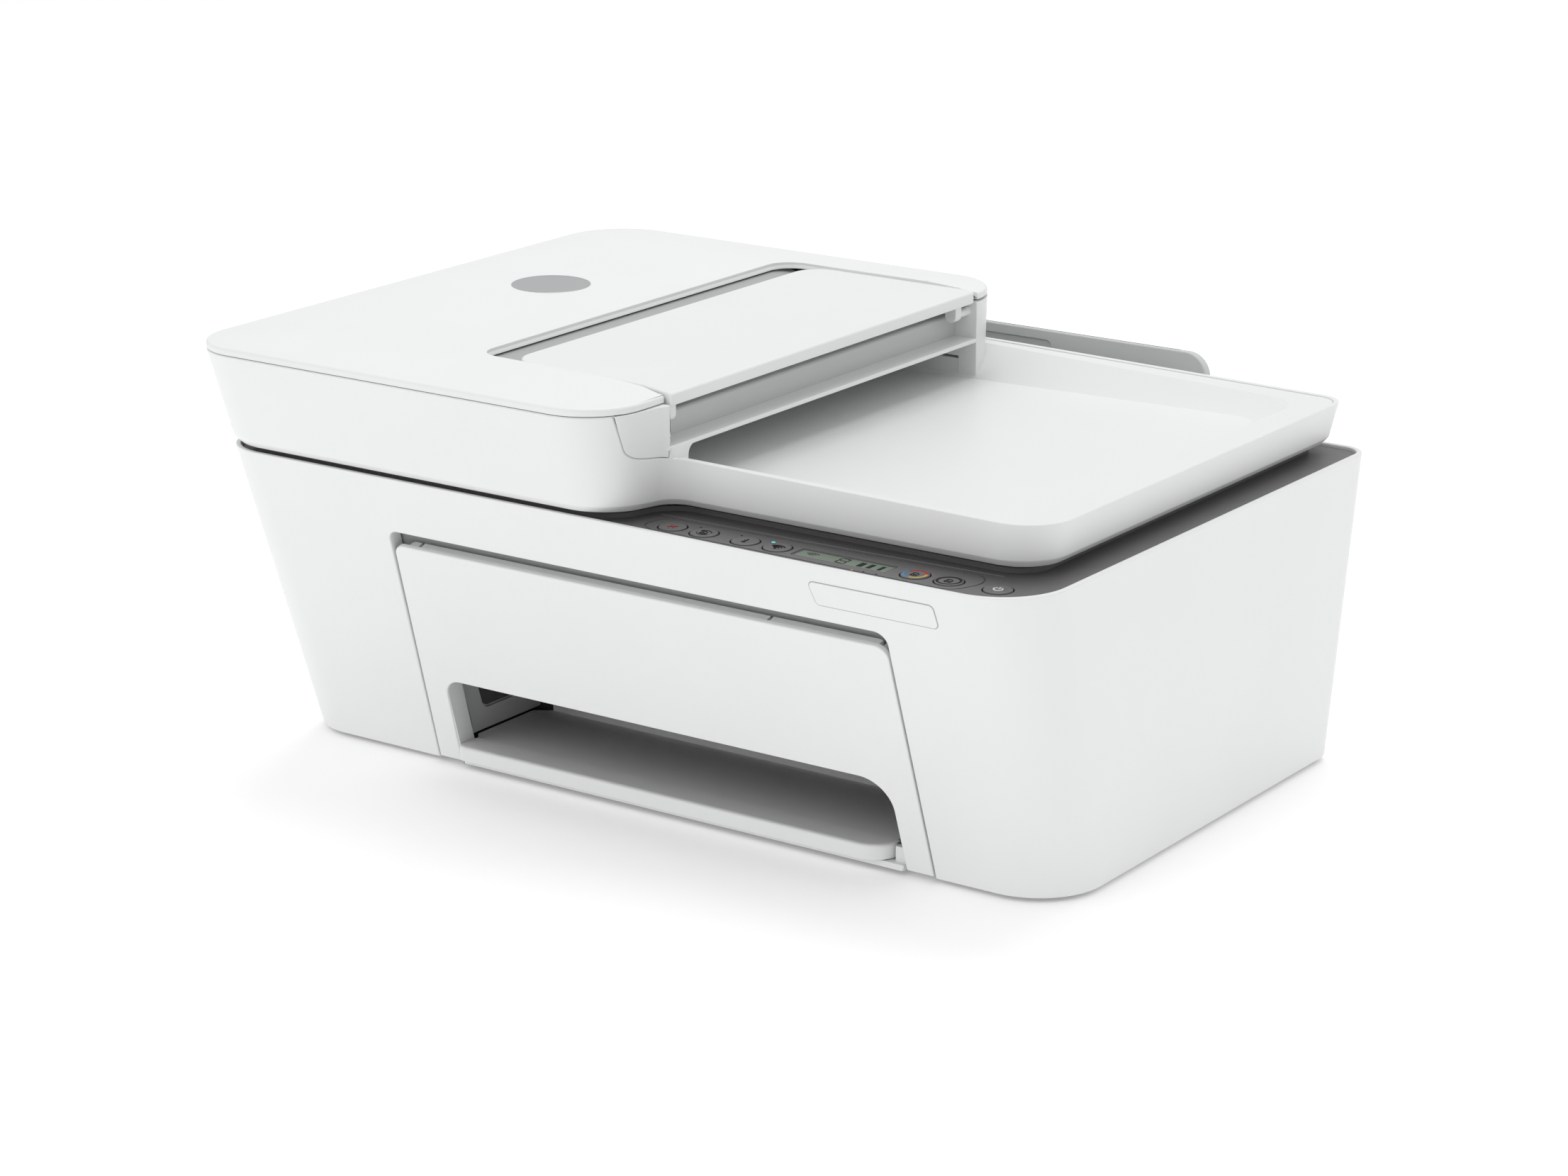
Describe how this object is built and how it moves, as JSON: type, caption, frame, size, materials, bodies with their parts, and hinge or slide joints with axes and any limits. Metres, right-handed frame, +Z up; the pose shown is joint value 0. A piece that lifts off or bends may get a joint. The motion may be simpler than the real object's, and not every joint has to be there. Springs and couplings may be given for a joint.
{
  "type": "all-in-one inkjet printer",
  "caption": "Desktop inkjet printer with a flatbed scanner and a document feeder, a leaning front with a drop-down door, an output slot, a rear paper tray and a control panel.",
  "frame": {"origin": "on the table, under the middle of the whole printer", "axes": "+X to the right of someone facing the printer, +Y to its back, +Z up"},
  "size_m": [0.4321, 0.3335, 0.2],
  "materials": {
    "white_shell": "fine satin texture",
    "gray_trim": "fine satin texture",
    "pale_gray": "satin",
    "dark_frame": "satin",
    "cartridge_black": "semi-gloss",
    "rubber_black": "matte",
    "steel": "ground",
    "glass_clear": "polished",
    "screen": "glossy",
    "board_green": "solder mask",
    "pad_white": "matte"
  },
  "bodies": {
    "printer": {"base_shell": "white_shell", "bottom_pan": "gray_trim", "foot_front_left": "rubber_black", "foot_front_right": "rubber_black", "foot_rear_left": "rubber_black", "foot_rear_right": "rubber_black", "scanner_deck": "gray_trim", "scanner_glass": "glass_clear", "display": "screen", "output_tray": "gray_trim", "chassis": "dark_frame", "platen": "dark_frame", "carriage_rod": "steel", "drive_belt": "rubber_black", "carriage_motor": "steel", "paper_motor": "steel", "service_station": "pale_gray", "main_board": "board_green", "power_supply": "dark_frame", "rear_housing": "gray_trim", "scanner_tub": "dark_frame", "control_board": "board_green", "lid_hinge_left": "gray_trim", "lid_hinge_right": "gray_trim"},
    "cancel_button_body": {"cancel_button": "gray_trim"},
    "resume_button_body": {"resume_button": "gray_trim"},
    "info_button_body": {"info_button": "gray_trim"},
    "wireless_button_body": {"wireless_button": "gray_trim"},
    "colour_copy_button_body": {"colour_copy_button": "gray_trim"},
    "black_copy_button_body": {"black_copy_button": "gray_trim"},
    "power_button_body": {"power_button": "gray_trim"},
    "front_door": {"cartridge_door": "white_shell"},
    "extender": {"tray_extender": "white_shell"},
    "rear_tray": {"input_tray": "gray_trim"},
    "rear_tray_extension": {"input_tray_extension": "gray_trim"},
    "left_paper_guide": {"paper_guide_left": "gray_trim"},
    "right_paper_guide": {"paper_guide_right": "gray_trim"},
    "print_carriage": {"carriage": "dark_frame", "colour_cartridge": "cartridge_black", "black_cartridge": "cartridge_black"},
    "colour_latch_body": {"colour_latch": "pale_gray"},
    "black_latch_body": {"black_latch": "pale_gray"},
    "driving_pulley": {"motor_pulley": "steel"},
    "idling_pulley": {"idler_pulley": "pale_gray"},
    "feeding_roller": {"feed_roller": "steel"},
    "exiting_roller": {"exit_roller": "rubber_black"},
    "picking_roller": {"pick_roller": "rubber_black"},
    "pinion": {"paper_pinion": "pale_gray"},
    "scanning_head": {"scan_head": "dark_frame"},
    "lid": {"scanner_lid": "white_shell", "lid_pad": "pad_white", "stack_tray": "white_shell", "feeder_frame": "pale_gray"},
    "feeder_top": {"feeder_cover": "white_shell"},
    "feeder_tray": {"feeder_panel": "white_shell"},
    "front_document_guide": {"document_guide_front": "pale_gray"},
    "rear_document_guide": {"document_guide_rear": "pale_gray"},
    "feeder_drive": {"feeder_drive_roller": "rubber_black"},
    "feeder_pick": {"feeder_pick_roller": "rubber_black"},
    "feeder_exit": {"feeder_exit_roller": "rubber_black"}
  },
  "joints": [
    {"name": "cancel_button_press", "type": "slide", "parent": "printer", "child": "cancel_button_body", "axis": [0, 0, -1], "range_m": [0, 0.001], "stiffness_N_per_m": 700},
    {"name": "resume_button_press", "type": "slide", "parent": "printer", "child": "resume_button_body", "axis": [0, 0, -1], "range_m": [0, 0.001], "stiffness_N_per_m": 700},
    {"name": "info_button_press", "type": "slide", "parent": "printer", "child": "info_button_body", "axis": [0, 0, -1], "range_m": [0, 0.001], "stiffness_N_per_m": 700},
    {"name": "wireless_button_press", "type": "slide", "parent": "printer", "child": "wireless_button_body", "axis": [0, 0, -1], "range_m": [0, 0.001], "stiffness_N_per_m": 700},
    {"name": "colour_copy_button_press", "type": "slide", "parent": "printer", "child": "colour_copy_button_body", "axis": [0, 0, -1], "range_m": [0, 0.001], "stiffness_N_per_m": 700},
    {"name": "black_copy_button_press", "type": "slide", "parent": "printer", "child": "black_copy_button_body", "axis": [0, 0, -1], "range_m": [0, 0.001], "stiffness_N_per_m": 700},
    {"name": "power_button_press", "type": "slide", "parent": "printer", "child": "power_button_body", "axis": [0, 0, -1], "range_m": [0, 0.001], "stiffness_N_per_m": 700},
    {"name": "cartridge_door_hinge", "type": "hinge", "parent": "printer", "child": "front_door", "pos_m": [0.014, -0.09695, 0.01113], "axis": [1, 0, 0], "range_deg": [0, 50]},
    {"name": "tray_extender_slide", "type": "slide", "parent": "printer", "child": "extender", "axis": [0, -1, 0], "range_m": [0, 0.12]},
    {"name": "input_tray_hinge", "type": "hinge", "parent": "printer", "child": "rear_tray", "pos_m": [0, 0.1524, 0.096], "axis": [-1, 0, 0], "range_deg": [0, 22]},
    {"name": "input_tray_extension_slide", "type": "slide", "parent": "rear_tray", "child": "rear_tray_extension", "axis": [0, 0.1392, 0.9903], "range_m": [0, 0.05]},
    {"name": "paper_guide_left_slide", "type": "slide", "parent": "printer", "child": "left_paper_guide", "axis": [1, 0, 0], "range_m": [0, 0.056]},
    {"name": "paper_guide_right_slide", "type": "slide", "parent": "printer", "child": "right_paper_guide", "axis": [1, 0, 0], "range_m": [-0.056, 0]},
    {"name": "carriage_slide", "type": "slide", "parent": "printer", "child": "print_carriage", "axis": [-1, 0, 0], "range_m": [0, 0.27]},
    {"name": "colour_latch_hinge", "type": "hinge", "parent": "print_carriage", "child": "colour_latch_body", "pos_m": [0.1405, -0.032, 0.1015], "axis": [-1, 0, 0], "range_deg": [0, 45]},
    {"name": "black_latch_hinge", "type": "hinge", "parent": "print_carriage", "child": "black_latch_body", "pos_m": [0.1755, -0.032, 0.1015], "axis": [-1, 0, 0], "range_deg": [0, 45]},
    {"name": "motor_pulley_spin", "type": "hinge", "parent": "printer", "child": "driving_pulley", "pos_m": [0.186, 0.027, 0.07], "axis": [0, -1, 0], "range_deg": [-60, 2100]},
    {"name": "idler_pulley_spin", "type": "hinge", "parent": "printer", "child": "idling_pulley", "pos_m": [-0.1572, 0.027, 0.07], "axis": [0, -1, 0], "range_deg": [-60, 2100]},
    {"name": "feed_roller_spin", "type": "hinge", "parent": "printer", "child": "feeding_roller", "pos_m": [0.01, 0.046, 0.052], "axis": [1, 0, 0], "continuous": true},
    {"name": "exit_roller_spin", "type": "hinge", "parent": "printer", "child": "exiting_roller", "pos_m": [0.01, -0.052, 0.046], "axis": [1, 0, 0], "continuous": true},
    {"name": "pick_roller_spin", "type": "hinge", "parent": "printer", "child": "picking_roller", "pos_m": [0.01, 0.1, 0.092], "axis": [1, 0, 0], "continuous": true},
    {"name": "paper_pinion_spin", "type": "hinge", "parent": "printer", "child": "pinion", "pos_m": [-0.172, 0.066, 0.052], "axis": [1, 0, 0], "continuous": true},
    {"name": "scan_head_slide", "type": "slide", "parent": "printer", "child": "scanning_head", "axis": [1, 0, 0], "range_m": [0, 0.265]},
    {"name": "scanner_lid_hinge", "type": "hinge", "parent": "printer", "child": "lid", "pos_m": [-0.008, 0.1522, 0.162], "axis": [-1, 0, 0], "range_deg": [0, 60]},
    {"name": "feeder_cover_hinge", "type": "hinge", "parent": "lid", "child": "feeder_top", "pos_m": [-0.214, -0.01, 0.1943], "axis": [0, -1, 0], "range_deg": [0, 65]},
    {"name": "feeder_panel_hinge", "type": "hinge", "parent": "lid", "child": "feeder_tray", "pos_m": [0.0195, -0.002, 0.1884], "axis": [0, 1, 0], "range_deg": [0, 165]},
    {"name": "document_guide_front_slide", "type": "slide", "parent": "feeder_tray", "child": "front_document_guide", "axis": [0, 1, 0], "range_m": [0, 0.06]},
    {"name": "document_guide_rear_slide", "type": "slide", "parent": "feeder_tray", "child": "rear_document_guide", "axis": [0, 1, 0], "range_m": [-0.06, 0]},
    {"name": "feeder_drive_spin", "type": "hinge", "parent": "lid", "child": "feeder_drive", "pos_m": [-0.1332, 0, 0.176], "axis": [0, 1, 0], "continuous": true},
    {"name": "feeder_pick_spin", "type": "hinge", "parent": "lid", "child": "feeder_pick", "pos_m": [-0.11205, 0, 0.18206], "axis": [0, 1, 0], "continuous": true},
    {"name": "feeder_exit_spin", "type": "hinge", "parent": "lid", "child": "feeder_exit", "pos_m": [-0.11415, 0, 0.165], "axis": [0, 1, 0], "continuous": true}
  ],
  "couplings": [
    {"joint": "paper_guide_right_slide", "follows": "paper_guide_left_slide", "ratio": -1},
    {"joint": "document_guide_rear_slide", "follows": "document_guide_front_slide", "ratio": -1},
    {"joint": "motor_pulley_spin", "follows": "carriage_slide", "rad_per_m": 125},
    {"joint": "idler_pulley_spin", "follows": "carriage_slide", "rad_per_m": 125},
    {"joint": "paper_pinion_spin", "follows": "feed_roller_spin", "ratio": -3},
    {"joint": "exit_roller_spin", "follows": "feed_roller_spin", "ratio": 1.2},
    {"joint": "feeder_pick_spin", "follows": "feeder_drive_spin", "ratio": -1.2},
    {"joint": "feeder_exit_spin", "follows": "feeder_drive_spin", "ratio": -1.2}
  ]
}
